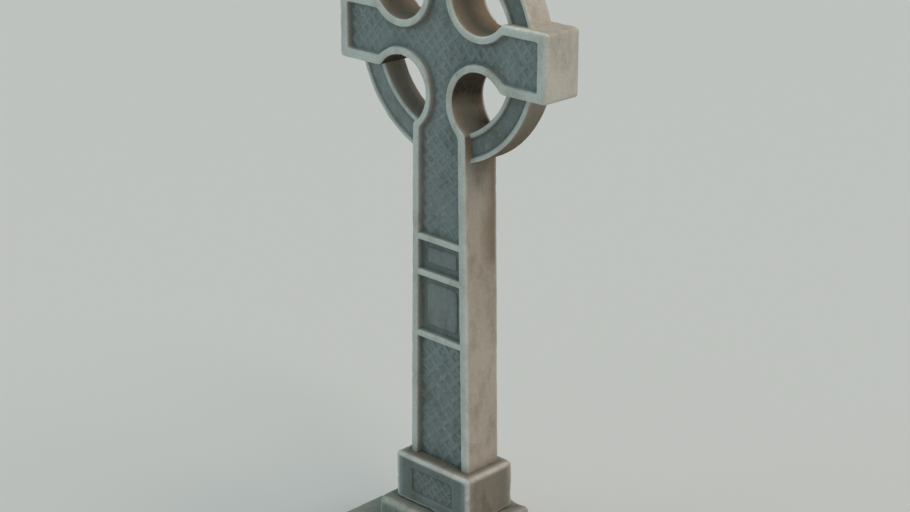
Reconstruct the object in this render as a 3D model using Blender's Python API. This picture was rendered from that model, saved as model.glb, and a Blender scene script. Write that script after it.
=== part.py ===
# A carved stone cross with a ring behind its arms, standing on a plinth and two steps.
# Metres, +Z up. The front faces -Y, and the ground is at z = 0.

import math

import bmesh
import bpy

# Cross
ARM_SPAN = 0.804
ARM_HEIGHT = 0.194
CROSS_DEPTH = 0.135
SHAFT_FOOT_WIDTH = 0.240
SHAFT_HEAD_WIDTH = 0.203
SHAFT_RISE = 1.286            # from the plinth's top to the middle of the arms
TOP_ARM_RISE = 0.400          # from the middle of the arms to the top

# Hollows between the arms
HOLLOW_RADIUS = 0.100
HOLLOW_OFFSET = 0.152         # from the middle of the cross, sideways and up
HOLLOW_STEPS = 18

# Ring
RING_INNER_RADIUS = 0.257
RING_OUTER_RADIUS = 0.342
RING_DEPTH = 0.085
RING_EDGE = 0.016             # raised edge on each side of the ring's channel
RING_CHANNEL = 0.007
RING_STEPS = 64

# Raised border and sunk panels of the cross
BORDER_WIDTH = 0.026
HOLLOW_BORDER = 0.021         # round the hollows
END_BORDER = 0.032            # at the arms' ends and the top
PANEL_SINK = 0.020
WALL_SLOPE = 0.003
WORN_EDGE = 0.006
BAR_WIDTH = 0.018
BAR_DROP = 0.0006             # bars lie this much behind the border
BAR_HEIGHTS = (0.706, 0.595, 0.400)
FIELD_MARGIN = 0.018
FIELD_RISE = 0.004
FIELD_CORNER = 0.016

# Knotwork
STRAND_WIDTH = 0.0135
OVER_RISE = 0.0075
UNDER_RISE = 0.0040
KNOT_MARGIN = 0.007           # from a panel's wall to the line where strands turn
NECK_PITCH = 0.040
NECK_CELLS = 5
BLOCK_CELLS = 3
TURN_TIP_SHARE = 0.45         # how far a turn stands out past its line, in half strands
WALL_GAP_SHARE = 0.45         # half the gap left between strands that turn back at a wall
LOWER_STRAND_WIDTH = 0.0165
LOWER_KNOT_CELLS = 3
LOWER_WALL_CELLS = 2          # rows from one turning back to the next, up the middle
LOWER_KNOT_FOOT = 0.012       # from the shaft's foot to the knotwork

# Plinth and steps
PLINTH_TREAD = 0.032          # the plinth's top shows this far round the shaft
PLINTH_HEIGHT = 0.155
PLINTH_WORN_EDGE = 0.007
PLINTH_PANEL_WIDTH = 0.176
PLINTH_PANEL_HEIGHT = 0.086
PLINTH_PANEL_SINK = 0.006
PLINTH_STRAND_WIDTH = 0.011
PLINTH_KNOT_CELLS = 2
PLINTH_OVER_RISE = 0.0055
PLINTH_UNDER_RISE = 0.0030
UPPER_STEP_TREAD = 0.041
UPPER_STEP_HEIGHT = 0.095
LOWER_STEP_SIDE_TREAD = 0.130
LOWER_STEP_FRONT_TREAD = 0.105   # the same behind
LOWER_STEP_HEIGHT = 0.110
STEP_WORN_EDGE = 0.010

JOINT_GAP = 0.0003            # between one stone and the next
BURIED = 0.003                # how far raised work reaches into the stone behind it

# Heights and half sizes that follow
UPPER_STEP_Z = LOWER_STEP_HEIGHT + JOINT_GAP
PLINTH_Z = UPPER_STEP_Z + UPPER_STEP_HEIGHT + JOINT_GAP
FOOT_Z = PLINTH_Z + PLINTH_HEIGHT + JOINT_GAP
MIDDLE_Z = FOOT_Z + SHAFT_RISE
ARM_LOW_Z = MIDDLE_Z - ARM_HEIGHT / 2
PLINTH_WIDTH = SHAFT_FOOT_WIDTH + 2 * PLINTH_TREAD
PLINTH_DEPTH = CROSS_DEPTH + 2 * PLINTH_TREAD
UPPER_STEP_WIDTH = PLINTH_WIDTH + 2 * UPPER_STEP_TREAD
UPPER_STEP_DEPTH = PLINTH_DEPTH + 2 * UPPER_STEP_TREAD
LOWER_STEP_WIDTH = UPPER_STEP_WIDTH + 2 * LOWER_STEP_SIDE_TREAD
LOWER_STEP_DEPTH = UPPER_STEP_DEPTH + 2 * LOWER_STEP_FRONT_TREAD

FRONT_Y = -CROSS_DEPTH / 2
FLOOR_INSET = BORDER_WIDTH + WALL_SLOPE
HOLLOW_SHARE = HOLLOW_BORDER / BORDER_WIDTH
END_SHARE = END_BORDER / BORDER_WIDTH
FLOOR_Y = FRONT_Y + PANEL_SINK
SHAFT_TAPER = (SHAFT_FOOT_WIDTH - SHAFT_HEAD_WIDTH) / 2 / (ARM_LOW_Z - FOOT_Z)
CELL_SIDES = ((1, 0), (0, 1), (-1, 0), (0, -1))


def clear_scene():
    for old in list(bpy.data.objects):
        bpy.data.objects.remove(old, do_unlink=True)


def stone(name, colour, roughness):
    material = bpy.data.materials.new(name)
    material.use_nodes = True
    shader = material.node_tree.nodes["Principled BSDF"]
    shader.inputs["Base Color"].default_value = (*colour, 1.0)
    shader.inputs["Roughness"].default_value = roughness
    shader.inputs["Metallic"].default_value = 0.0
    return material


def finish_mesh(bm, name, material=None):
    bmesh.ops.recalc_face_normals(bm, faces=bm.faces[:])
    mesh = bpy.data.meshes.new(name)
    bm.to_mesh(mesh)
    bm.free()
    if material:
        mesh.materials.append(material)
    thing = bpy.data.objects.new(name, mesh)
    bpy.context.scene.collection.objects.link(thing)
    return thing


def join_or_cut(target, tool, operation):
    """Unite the tool with the target, or cut it away, and hide the tool."""
    tool.hide_render = True
    tool.display_type = "WIRE"
    change = target.modifiers.new(tool.name, "BOOLEAN")
    change.operation = operation
    change.solver = "EXACT"
    change.object = tool


def loft(bm, rings):
    """Walls between rings of equally many points, closed by the first and last ring."""
    levels = [[bm.verts.new(point) for point in ring] for ring in rings]
    for low, high in zip(levels, levels[1:]):
        for k in range(len(low)):
            after = (k + 1) % len(low)
            bm.faces.new((low[k], low[after], high[after], high[k]))
    bm.faces.new(levels[0])
    bm.faces.new(levels[-1])


def shaft_half(z, inset=0.0):
    """Half the shaft's width at a height, less a border measured square to its side."""
    half = SHAFT_HEAD_WIDTH / 2 + SHAFT_TAPER * (ARM_LOW_Z - z)
    return half - inset * math.hypot(1.0, SHAFT_TAPER)


def arc(middle, radius, start, end):
    points = []
    for k in range(HOLLOW_STEPS + 1):
        angle = start + (end - start) * k / HOLLOW_STEPS
        points.append((middle[0] + radius * math.cos(angle), middle[1] + radius * math.sin(angle)))
    return points


def lower_hollow_start(radius, inset):
    """Angle, about the lower hollow's middle, where the shaft's side runs into the hollow."""
    middle_z = MIDDLE_Z - HOLLOW_OFFSET
    z = middle_z - radius
    for _ in range(30):
        across = shaft_half(z, inset) - HOLLOW_OFFSET
        z = middle_z - math.sqrt(max(radius ** 2 - across ** 2, 0.0))
    return math.atan2(z - middle_z, across) + 2 * math.pi


def cross_outline(inset, foot_z):
    """Outline of the cross in X and Z, from the foot round to the foot, moved inwards by an inset.

    The inset counts along the shaft's sides and is a share of itself round the hollows and at the ends.
    """
    radius = HOLLOW_RADIUS + inset * HOLLOW_SHARE
    arm_half = ARM_HEIGHT / 2 - inset
    top_half = SHAFT_HEAD_WIDTH / 2 - inset
    arm_end = ARM_SPAN / 2 - inset * END_SHARE
    arm_angle = math.asin((HOLLOW_OFFSET - arm_half) / radius)
    top_angle = math.acos((top_half - HOLLOW_OFFSET) / radius)
    right = [(shaft_half(foot_z, inset), foot_z)]
    right += arc((HOLLOW_OFFSET, MIDDLE_Z - HOLLOW_OFFSET), radius,
                 lower_hollow_start(radius, inset), arm_angle)
    right += [(arm_end, MIDDLE_Z - arm_half), (arm_end, MIDDLE_Z + arm_half)]
    right += arc((HOLLOW_OFFSET, MIDDLE_Z + HOLLOW_OFFSET), radius,
                 -arm_angle, top_angle - 2 * math.pi)
    right += [(top_half, MIDDLE_Z + TOP_ARM_RISE - inset * END_SHARE)]
    return right + [(-x, z) for x, z in reversed(right)]


def cross_body():
    """Shaft and arms with worn edges, hollows, and a sunk panel on both faces, cut flat at the foot."""
    below = FOOT_Z - 2 * FLOOR_INSET
    back_y = -FRONT_Y
    levels = (
        (FLOOR_INSET, FLOOR_Y),
        (BORDER_WIDTH, FRONT_Y),
        (WORN_EDGE, FRONT_Y),
        (0.0, FRONT_Y + WORN_EDGE),
        (0.0, back_y - WORN_EDGE),
        (WORN_EDGE, back_y),
        (BORDER_WIDTH, back_y),
        (FLOOR_INSET, -FLOOR_Y),
    )
    bm = bmesh.new()
    rings = []
    for inset, y in levels:
        rings.append([(x, y, z) for x, z in cross_outline(inset, below + inset)])
    loft(bm, rings)
    everything = bm.verts[:] + bm.edges[:] + bm.faces[:]
    bmesh.ops.bisect_plane(bm, geom=everything, plane_co=(0, 0, FOOT_Z), plane_no=(0, 0, -1),
                           clear_outer=True)
    open_edges = [edge for edge in bm.edges if edge.is_boundary]
    bmesh.ops.holes_fill(bm, edges=open_edges, sides=0)
    return bm


def ring_body():
    """The ring, a turned band about the Y axis with a shallow channel on both faces."""
    face = RING_DEPTH / 2
    floor = face - RING_CHANNEL
    inner = RING_INNER_RADIUS
    outer = RING_OUTER_RADIUS
    half = (
        (outer, face),
        (outer - RING_EDGE, face),
        (outer - RING_EDGE - WALL_SLOPE, floor),
        (inner + RING_EDGE + WALL_SLOPE, floor),
        (inner + RING_EDGE, face),
        (inner, face),
    )
    profile = list(half) + [(radius, -y) for radius, y in reversed(half)]
    return turned(profile, RING_STEPS)


def turned(profile, steps):
    """A closed profile of radius and Y, turned round the middle of the cross."""
    bm = bmesh.new()
    rows = []
    for k in range(steps):
        angle = 2 * math.pi * k / steps
        rows.append([bm.verts.new((radius * math.cos(angle), y, MIDDLE_Z + radius * math.sin(angle)))
                     for radius, y in profile])
    for k in range(steps):
        near = rows[k]
        far = rows[(k + 1) % steps]
        for m in range(len(profile)):
            after = (m + 1) % len(profile)
            bm.faces.new((near[m], near[after], far[after], far[m]))
    return bm


def bar_body(height, side):
    """One bar across the shaft's panel, with sloping flanks. Side is -1 in front and 1 behind."""
    z = FOOT_Z + height
    reach = shaft_half(z, BORDER_WIDTH / 2)
    top_y = side * (-FRONT_Y - BAR_DROP)
    base_y = side * (-FLOOR_Y - BURIED)
    slope = WALL_SLOPE * (1 + BURIED / PANEL_SINK)
    bm = bmesh.new()
    top = rectangle(reach, BAR_WIDTH / 2, z, top_y)
    base = rectangle(reach, BAR_WIDTH / 2 + slope, z, base_y)
    loft(bm, [top, base])
    return bm


def rectangle(half_width, half_height, z, y):
    corners = ((-1, -1), (1, -1), (1, 1), (-1, 1))
    return [(half_width * a, y, z + half_height * b) for a, b in corners]


def field_body(low, high):
    """A slightly raised field with cut corners, centred between two bars."""
    bottom = FOOT_Z + low + BAR_WIDTH / 2 + WALL_SLOPE + FIELD_MARGIN
    top = FOOT_Z + high - BAR_WIDTH / 2 - WALL_SLOPE - FIELD_MARGIN
    bm = bmesh.new()
    rings = []
    for inset, y in ((FIELD_RISE / 2, FLOOR_Y - FIELD_RISE), (0.0, FLOOR_Y + BURIED)):
        right = []
        for z, away in ((bottom + inset, 1), (top - inset, -1)):
            half = shaft_half(z, FLOOR_INSET + FIELD_MARGIN) - inset
            corner = [(half - FIELD_CORNER, z), (half, z + away * FIELD_CORNER)]
            right += corner[::away]
        left = [(-x, z) for x, z in reversed(right)]
        rings.append([(x, y, z) for x, z in right + left])
    loft(bm, rings)
    return bm


def knot_nodes(cells):
    """Every cell edge's middle, with the cells that touch it and whether the edge is level."""
    nodes = {}
    for i, j in cells:
        for across, up in CELL_SIDES:
            node = (i + across / 2, j + up / 2)
            touching, _ = nodes.setdefault(node, ([], up != 0))
            touching.append((i, j))
    return nodes


def knot_body(cells, walls, place, share, rises, floor_y):
    """Interlaced strands as one closed solid.

    Strands run between the middles of the cell edges. Where two cells share an edge they cross, one
    over and one under. At the outline, and at an edge named in walls, they turn back. Place turns a
    point of the cell grid into X and Z, and share is half a strand's diagonal in cell units.
    """
    over, under = rises
    middle = (over + under) / 2
    nodes = knot_nodes(cells)
    bm = bmesh.new()
    made = {}

    def vert(point, rise):
        key = (round(point[0], 5), round(point[1], 5), rise)
        if key not in made:
            x, z = place(*point)
            made[key] = bm.verts.new((x, floor_y - rise, z))
        return made[key]

    def face(points):
        bm.faces.new([vert(point, rise) for point, rise in points])

    def crosses(node):
        return len(nodes[node][0]) == 2 and node not in walls

    def corner(node, toward, cell):
        """A node's corner in a direction. At a wall the node is drawn back into its own cell."""
        back = 0.0
        if node in walls:
            back = share * WALL_GAP_SHARE
        inward = (2 * (cell[0] - node[0]), 2 * (cell[1] - node[1]))
        return tuple(node[n] + toward[n] * share + inward[n] * back for n in (0, 1))

    def end(node, cell, other):
        """The end of a strand at a node: its outer corner, inner corner and rise."""
        inward = (2 * (cell[0] - node[0]), 2 * (cell[1] - node[1]))
        outward = (2 * (other[0] - cell[0]), 2 * (other[1] - cell[1]))
        rising = (other[0] - node[0]) * (other[1] - node[1]) > 0
        rise = middle
        if crosses(node):
            rise = over if rising == nodes[node][1] else under
        return corner(node, outward, cell), corner(node, inward, cell), rise

    def upright(point, node, rise):
        """Points down a strand's side, with one at the under rise where the strand lies over."""
        levels = [-BURIED]
        if crosses(node) and rise == over:
            levels.append(under)
        return [(point, level) for level in levels + [rise]]

    for cell in cells:
        around = [(cell[0] + across / 2, cell[1] + up / 2) for across, up in CELL_SIDES]
        for first, second in zip(around, around[1:] + around[:1]):
            outer_a, inner_a, rise_a = end(first, cell, second)
            outer_b, inner_b, rise_b = end(second, cell, first)
            face([(outer_a, rise_a), (inner_a, rise_a), (inner_b, rise_b), (outer_b, rise_b)])
            face([(outer_a, -BURIED), (inner_a, -BURIED), (inner_b, -BURIED), (outer_b, -BURIED)])
            face(upright(inner_a, first, rise_a) + upright(inner_b, second, rise_b)[::-1])
            face(upright(outer_a, first, rise_a) + upright(outer_b, second, rise_b)[::-1])
            for node, outer, inner, rise in ((first, outer_a, inner_a, rise_a),
                                             (second, outer_b, inner_b, rise_b)):
                if crosses(node) and rise == under:
                    face([(outer, under), (inner, under), (inner, over), (outer, over)])

    for node, (touching, is_level) in nodes.items():
        along = (1, 0) if is_level else (0, 1)
        back_along = (-along[0], -along[1])
        inward = [(2 * (cell[0] - node[0]), 2 * (cell[1] - node[1])) for cell in touching]
        if crosses(node):
            cell = touching[0]
            square = [corner(node, way, cell) for way in (along, inward[0], back_along, inward[1])]
            face([(point, over) for point in square])
            face([(point, -BURIED) for point in square])
            continue
        for cell, way in zip(touching, inward):
            shape = [corner(node, toward, cell) for toward in (along, way, back_along)]
            if len(touching) == 1:
                tip = (-way[0] * TURN_TIP_SHARE, -way[1] * TURN_TIP_SHARE)
                shape.append(corner(node, tip, cell))
            face([(point, middle) for point in shape])
            face([(point, -BURIED) for point in shape])
            outside = shape[2:] + shape[:1]
            for a, b in zip(outside, outside[1:]):
                face([(a, middle), (b, middle), (b, -BURIED), (a, -BURIED)])
    return bm


def block(columns, rows):
    """Cells of a rectangular block, by the middles of the cells, counted from its own middle."""
    return {(c - (columns - 1) / 2, r - (rows - 1) / 2) for c in range(columns) for r in range(rows)}


def stretch(value, marks):
    """Value read off a run of straight lines between marks of (value, result)."""
    for (start, low), (end, high) in zip(marks, marks[1:]):
        if value <= end or (end, high) == marks[-1]:
            return low + (high - low) * (value - start) / (end - start)


def head_knot():
    """Cells and placing of the plait that fills the head, the arms and the shaft's top panel."""
    arm_floor_half = ARM_HEIGHT / 2 - FLOOR_INSET
    hollow_floor_radius = HOLLOW_RADIUS + FLOOR_INSET * HOLLOW_SHARE
    rise = HOLLOW_OFFSET - arm_floor_half
    block_start = HOLLOW_OFFSET + math.sqrt(hollow_floor_radius ** 2 - rise ** 2)
    shaft_end = SHAFT_RISE - BAR_HEIGHTS[0] - BAR_WIDTH / 2 - WALL_SLOPE - KNOT_MARGIN
    arm_end = ARM_SPAN / 2 - FLOOR_INSET * END_SHARE - KNOT_MARGIN
    top_end = TOP_ARM_RISE - FLOOR_INSET * END_SHARE - KNOT_MARGIN
    arm_pitch = 2 * (arm_floor_half - KNOT_MARGIN) / BLOCK_CELLS
    shaft_rows = max(2, round((shaft_end - block_start) / arm_pitch))
    centre_half = BLOCK_CELLS / 2
    neck_end = centre_half + NECK_CELLS

    def limb_marks(rows, length):
        return [(0.0, 0.0), (centre_half, centre_half * NECK_PITCH), (neck_end, block_start),
                (neck_end + rows, length)]

    def pitch(distance, half_width):
        """Width of one cell across a limb: narrow at the neck, then a share of the panel."""
        wide = 2 * (half_width - FLOOR_INSET - KNOT_MARGIN) / BLOCK_CELLS
        narrow_until = HOLLOW_OFFSET + NECK_PITCH
        share = min(max((distance - narrow_until) / (block_start - narrow_until), 0.0), 1.0)
        return NECK_PITCH + (wide - NECK_PITCH) * share

    def place(i, j):
        if abs(i) > abs(j):
            distance = stretch(abs(i), limb_marks(BLOCK_CELLS, arm_end))
            return math.copysign(distance, i), MIDDLE_Z + j * pitch(distance, ARM_HEIGHT / 2)
        if j > 0:
            distance = stretch(j, limb_marks(BLOCK_CELLS, top_end))
            return i * pitch(distance, SHAFT_HEAD_WIDTH / 2), MIDDLE_Z + distance
        distance = stretch(-j, limb_marks(shaft_rows, shaft_end))
        half = shaft_half(MIDDLE_Z - distance)
        return i * pitch(distance, half), MIDDLE_Z - distance

    cells = block(BLOCK_CELLS, BLOCK_CELLS)
    for step in range(NECK_CELLS):
        away = centre_half + step + 0.5
        cells |= {(away, 0.0), (-away, 0.0), (0.0, away), (0.0, -away)}
    for i, j in block(BLOCK_CELLS, BLOCK_CELLS):
        away = neck_end + centre_half
        cells |= {(away + i, j), (-away + i, j), (i, away + j)}
    for i, j in block(BLOCK_CELLS, shaft_rows):
        cells.add((i, -neck_end - shaft_rows / 2 + j))
    share = STRAND_WIDTH / math.sqrt(2) / NECK_PITCH
    return knot_body(sorted(cells), (), place, share, (OVER_RISE, UNDER_RISE), FLOOR_Y)


def lower_knot():
    """The wider knotwork of the long panel above the foot, in linked squares."""
    low = FOOT_Z + LOWER_KNOT_FOOT
    high = FOOT_Z + BAR_HEIGHTS[2] - BAR_WIDTH / 2 - WALL_SLOPE - KNOT_MARGIN
    middle = (low + high) / 2
    pitch = 2 * (shaft_half(middle, FLOOR_INSET) - KNOT_MARGIN) / LOWER_KNOT_CELLS
    rows = max(2, round((high - low) / pitch))

    def place(i, j):
        z = middle + j * (high - low) / rows
        return i * 2 * (shaft_half(z, FLOOR_INSET) - KNOT_MARGIN) / LOWER_KNOT_CELLS, z

    cells = block(LOWER_KNOT_CELLS, rows)
    walls = set()
    for i, j in cells:
        row = round(j + (rows - 1) / 2)
        if i == 0 and row % LOWER_WALL_CELLS == 0 and row > 0:
            walls.add((i, j - 0.5))
    share = LOWER_STRAND_WIDTH / math.sqrt(2) / pitch
    return knot_body(sorted(cells), walls, place, share, (OVER_RISE, UNDER_RISE), FLOOR_Y)


def plinth_knot():
    """A small band of knotwork in the plinth's sunk panel."""
    wide = PLINTH_PANEL_WIDTH - 2 * KNOT_MARGIN - 2 * PLINTH_PANEL_SINK
    tall = PLINTH_PANEL_HEIGHT - 2 * KNOT_MARGIN - 2 * PLINTH_PANEL_SINK
    rows = PLINTH_KNOT_CELLS
    columns = max(rows, round(wide * rows / tall))
    middle = PLINTH_Z + PLINTH_HEIGHT / 2

    def place(i, j):
        return i * wide / columns, middle + j * tall / rows

    share = PLINTH_STRAND_WIDTH / math.sqrt(2) * rows / tall
    rises = (PLINTH_OVER_RISE, PLINTH_UNDER_RISE)
    floor_y = -PLINTH_DEPTH / 2 + PLINTH_PANEL_SINK
    return knot_body(sorted(block(columns, rows)), (), place, share, rises, floor_y)


def worn_block(name, width, depth, height, base_z, worn_edge, material):
    """A squared stone with rounded edges, standing at a height."""
    bm = bmesh.new()
    low = [(x, y, base_z) for x, y, z in flat_rectangle(width, depth)]
    high = [(x, y, base_z + height) for x, y, z in low]
    loft(bm, [low, high])
    stone_block = finish_mesh(bm, name, material)
    bevel = stone_block.modifiers.new("worn edges", "BEVEL")
    bevel.width = worn_edge
    bevel.segments = 2
    bevel.limit_method = "ANGLE"
    return stone_block


def flat_rectangle(width, depth):
    return [(width / 2 * a, depth / 2 * b, 0.0) for a, b in ((-1, -1), (1, -1), (1, 1), (-1, 1))]


def build_cross():
    cross = finish_mesh(cross_body(), "cross", stone("grey stone, carved", (0.42, 0.41, 0.37), 0.85))
    additions = [("ring", ring_body()), ("head_knot", head_knot()), ("lower_knot", lower_knot())]
    for height in BAR_HEIGHTS:
        for side in (-1, 1):
            additions.append(("bar", bar_body(height, side)))
    for low, high in ((BAR_HEIGHTS[1], BAR_HEIGHTS[0]), (BAR_HEIGHTS[2], BAR_HEIGHTS[1])):
        additions.append(("field", field_body(low, high)))
    for name, bm in additions:
        join_or_cut(cross, finish_mesh(bm, "shape_" + name), "UNION")


def build_plinth():
    plinth = worn_block("plinth", PLINTH_WIDTH, PLINTH_DEPTH, PLINTH_HEIGHT, PLINTH_Z,
                        PLINTH_WORN_EDGE, stone("grey stone, plinth", (0.38, 0.37, 0.33), 0.85))
    front_y = -PLINTH_DEPTH / 2
    middle = PLINTH_Z + PLINTH_HEIGHT / 2
    half = (PLINTH_PANEL_WIDTH / 2, PLINTH_PANEL_HEIGHT / 2)
    bm = bmesh.new()
    rings = []
    for depth in (-PLINTH_PANEL_SINK, PLINTH_PANEL_SINK):
        rings.append(rectangle(half[0] - depth, half[1] - depth, middle, front_y + depth))
    loft(bm, rings)
    join_or_cut(plinth, finish_mesh(bm, "shape_plinth_panel"), "DIFFERENCE")
    join_or_cut(plinth, finish_mesh(plinth_knot(), "shape_plinth_knot"), "UNION")


def build_steps():
    worn_block("upper_step", UPPER_STEP_WIDTH, UPPER_STEP_DEPTH, UPPER_STEP_HEIGHT, UPPER_STEP_Z,
               STEP_WORN_EDGE, stone("grey stone, upper step", (0.36, 0.35, 0.31), 0.9))
    worn_block("lower_step", LOWER_STEP_WIDTH, LOWER_STEP_DEPTH, LOWER_STEP_HEIGHT, 0.0,
               STEP_WORN_EDGE, stone("grey stone, lower step", (0.34, 0.33, 0.29), 0.9))


clear_scene()
build_cross()
build_plinth()
build_steps()
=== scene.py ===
import math
import random

import bmesh
import bpy
import numpy as np
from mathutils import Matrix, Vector, noise
from mathutils.geometry import delaunay_2d_cdt


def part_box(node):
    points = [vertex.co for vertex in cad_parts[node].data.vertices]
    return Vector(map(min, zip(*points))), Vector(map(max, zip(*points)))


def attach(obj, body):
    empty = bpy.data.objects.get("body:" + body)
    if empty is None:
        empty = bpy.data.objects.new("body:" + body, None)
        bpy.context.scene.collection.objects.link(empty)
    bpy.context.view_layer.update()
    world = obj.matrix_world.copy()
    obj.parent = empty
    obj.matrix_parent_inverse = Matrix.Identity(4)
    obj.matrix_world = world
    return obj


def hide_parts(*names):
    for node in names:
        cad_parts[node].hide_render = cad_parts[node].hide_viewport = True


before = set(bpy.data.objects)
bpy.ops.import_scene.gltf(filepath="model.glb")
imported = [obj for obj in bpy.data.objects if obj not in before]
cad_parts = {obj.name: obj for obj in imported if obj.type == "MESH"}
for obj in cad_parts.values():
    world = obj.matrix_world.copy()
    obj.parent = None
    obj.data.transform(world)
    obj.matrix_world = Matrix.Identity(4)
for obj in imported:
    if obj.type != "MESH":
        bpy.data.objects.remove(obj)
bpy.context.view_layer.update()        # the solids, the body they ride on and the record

print("frame:", ", ".join(sorted(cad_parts)))

# A ringed stone cross on a plinth and two steps. Metres, the carved front faces -Y.
# Each stone is rebuilt in fine mesh over its solid, with worn edges, chips and low carving.


# Camera, studio

camera = {"azimuth": 44.229, "elevation": 20.278, "distance": 5.2197, "lens": 70.69,
          "sensorWidth": 36.0, "farthest": 200.0, "targetX": 0.0038, "armToTarget": 0.6379}

studio = {
    "floorSize": 70.0, "floorColour": (0.68, 0.70, 0.72), "floorRoughness": 0.9,
    "skyColour": (0.72, 0.94, 1.0), "sky": 0.38,
    "lights": [
        # name, towards the light, strength, softness in degrees, colour
        ("keyLight", (1.0, 0.12, 1.5), 1.75, 40.0, (1.0, 0.78, 0.60)),
        ("frontLight", (-0.80, -1.0, 0.45), 0.52, 50.0, (0.48, 0.94, 1.0)),
    ],
}


def addObject(name, data):
    thing = bpy.data.objects.new(name, data)
    bpy.context.scene.collection.objects.link(thing)
    return thing


def addCamera(middleZ):
    cam = bpy.data.cameras.new("camera")
    cam.lens = camera["lens"]
    cam.sensor_width = camera["sensorWidth"]
    cam.sensor_fit = "HORIZONTAL"
    cam.clip_end = camera["farthest"]
    turn = math.radians(camera["azimuth"])
    tilt = math.radians(camera["elevation"])
    back = Vector((math.sin(turn) * math.cos(tilt), -math.cos(turn) * math.cos(tilt), math.sin(tilt)))
    target = Vector((camera["targetX"], 0.0, middleZ - camera["armToTarget"]))
    thing = addObject("camera", cam)
    thing.location = target + back * camera["distance"]
    thing.rotation_euler = back.to_track_quat("Z", "Y").to_euler()
    bpy.context.scene.camera = thing


def addStudio():
    world = bpy.data.worlds.new("studio")
    bpy.context.scene.world = world
    world.use_nodes = True
    background = world.node_tree.nodes["Background"]
    background.inputs["Color"].default_value = (*studio["skyColour"], 1.0)
    background.inputs["Strength"].default_value = studio["sky"]
    for name, towards, strength, softness, colour in studio["lights"]:
        lamp = bpy.data.lights.new(name, "SUN")
        lamp.energy = strength
        lamp.angle = math.radians(softness)
        lamp.color = colour
        thing = addObject(name, lamp)
        thing.rotation_euler = Vector(towards).to_track_quat("Z", "Y").to_euler()
    half = studio["floorSize"] / 2
    mesh = bpy.data.meshes.new("floor")
    mesh.from_pydata([(-half, -half, 0.0), (half, -half, 0.0), (half, half, 0.0), (-half, half, 0.0)],
                     [], [(0, 1, 2, 3)])
    floor = addObject("floor", mesh)
    paint = bpy.data.materials.new("studio floor")
    paint.use_nodes = True
    shader = paint.node_tree.nodes["Principled BSDF"]
    shader.inputs["Base Color"].default_value = (*studio["floorColour"], 1.0)
    shader.inputs["Roughness"].default_value = studio["floorRoughness"]
    mesh.materials.append(paint)


crossLow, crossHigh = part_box("cross")
topArmRise = 0.400
footZ = crossLow.z
middleZ = crossHigh.z - topArmRise
addCamera(middleZ)
addStudio()
print("camera and studio")


# Stone

stoneLooks = {
    # tones are linear: the open faces, the sunk panels, then what lies over them. The panel tones are darker
    # and cooler than the open faces: painted recess shade and a painted cool cast, with dirt.
    "carved": {"body": (0.375, 0.335, 0.288), "light": (0.47, 0.425, 0.375), "panelBodyDirtAndShade": (0.185, 0.205, 0.20),
               "panelLightDirtAndShade": (0.24, 0.265, 0.26), "deep": (0.74, 0.72, 0.67), "worn": (0.79, 0.835, 0.81),
               "soilAndShade": (0.310, 0.215, 0.135), "grimeAndShade": (0.050, 0.036, 0.022), "lichen": (0.50, 0.50, 0.43),
               "wornShare": 0.85, "lichenCover": 0.22, "grain": 0.22,
               "roughLow": 0.78, "roughHigh": 0.95, "bump": 0.50},
    "plinth": {"body": (0.182, 0.164, 0.140), "light": (0.24, 0.22, 0.19), "panelBodyDirtAndShade": (0.150, 0.166, 0.160),
               "panelLightDirtAndShade": (0.19, 0.21, 0.20), "deep": (0.70, 0.68, 0.63), "worn": (0.70, 0.70, 0.67),
               "soilAndShade": (0.16, 0.105, 0.065), "grimeAndShade": (0.070, 0.055, 0.038), "lichen": (0.40, 0.40, 0.33),
               "wornShare": 0.85, "lichenCover": 0.18, "grain": 0.24,
               "roughLow": 0.80, "roughHigh": 0.96, "bump": 0.55},
    "step": {"body": (0.205, 0.218, 0.202), "light": (0.265, 0.272, 0.25), "panelBodyDirtAndShade": (0.2, 0.2, 0.18),
             "panelLightDirtAndShade": (0.26, 0.26, 0.23), "deep": (0.60, 0.58, 0.52), "worn": (0.47, 0.47, 0.42),
             "soilAndShade": (0.16, 0.105, 0.065), "grimeAndShade": (0.085, 0.070, 0.052), "lichen": (0.42, 0.42, 0.34),
             "wornShare": 0.80, "lichenCover": 0.28, "grain": 0.28,
             "roughLow": 0.82, "roughHigh": 0.97, "bump": 0.65},
}

stonePatterns = {
    # scale, detail, roughness, shift, upright stretch
    "broad": (4.5, 5.0, 0.55, 3.1, 0.45), "blotch": (17.0, 7.0, 0.62, 7.7, 0.6),
    "spots": (70.0, 5.0, 0.60, 1.9, 1.0), "grain": (420.0, 3.0, 0.70, 0.4, 1.0),
    # where a pattern starts to show and where it is full, and for wear with highlight and for grime with shade
    # what it then gives
    "cover": (0.35, 0.66), "stain": (0.52, 0.30), "lichen": (0.56, 0.68), "wearAndHighlight": (0.30, 0.60, 0.55, 1.0),
    "darkening": (0.35, 0.60, 1.12, 0.90), "fleck": (0.30, 0.70), "rough": (0.30, 0.70),
    "soilAndShadeShare": 0.85, "grimeAndShadeShare": 0.97, "specular": 0.25, "grainHeight": 0.35, "bumpDistance": 0.0035,
}


def addNode(tree, kind, inputs, **settings):
    # each input is given a value or linked to another node's output
    node = tree.nodes.new(kind)
    for name, value in settings.items():
        setattr(node, name, value)
    for socket, value in inputs.items():
        if isinstance(value, bpy.types.NodeSocket):
            tree.links.new(value, node.inputs[socket])
        else:
            node.inputs[socket].default_value = value
    return node.outputs


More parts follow.
